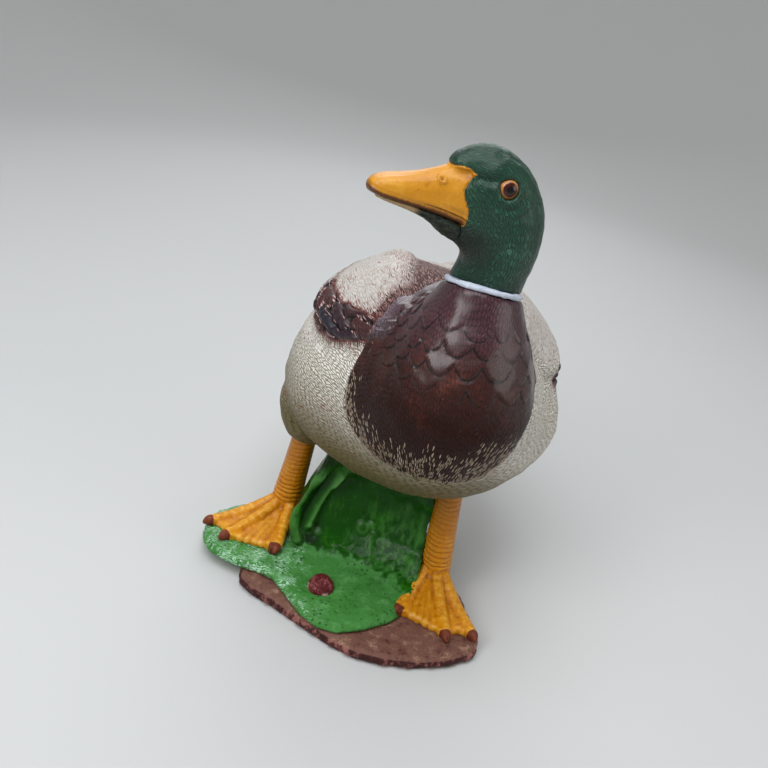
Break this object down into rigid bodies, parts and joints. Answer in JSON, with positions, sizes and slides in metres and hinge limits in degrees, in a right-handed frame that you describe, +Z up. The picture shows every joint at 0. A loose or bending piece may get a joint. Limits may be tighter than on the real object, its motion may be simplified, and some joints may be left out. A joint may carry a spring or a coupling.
{
  "type": "garden duck statue",
  "caption": "Cast and painted garden statue of a drake mallard standing on a base of leaves, with its head turned to its right.",
  "frame": {"origin": "on the floor, on the underside of the base, below the middle plane of the duck's body", "axes": "+Z up, -Y the way the breast faces, +X to the duck's left; the bill points towards -X"},
  "size_m": [0.3012, 0.3892, 0.404],
  "materials": {
    "cream_paint": "cream paint on cast resin, brushed with olive in the grooves",
    "chestnut_paint": "dark chestnut paint, glossy",
    "white_paint": "white paint",
    "green_paint": "dark green paint, satin, with fine brushed strokes",
    "orange_paint": "amber orange paint, satin",
    "eye_paint": "brown eye in an orange ring, glossy",
    "leaf_paint": "leaf green paint, glossy",
    "earth_paint": "earth brown paint, rough",
    "berry_paint": "dark red paint, rough"
  },
  "bodies": {
    "root": {"trunk": "cream_paint", "breast": "chestnut_paint", "collar": "white_paint", "neck": "green_paint", "head": "green_paint", "bill_upper": "orange_paint", "bill_lower": "orange_paint", "eye_left": "eye_paint", "eye_right": "eye_paint", "wing_left": "cream_paint", "wing_right": "cream_paint", "tail": "cream_paint", "tail_curl": "chestnut_paint", "leg_left": "orange_paint", "leg_right": "orange_paint", "foot_left": "orange_paint", "foot_right": "orange_paint", "leaf_clump": "leaf_paint", "leaf_pad": "leaf_paint", "base_slab": "earth_paint", "berry": "berry_paint"}
  },
  "joints": []
}
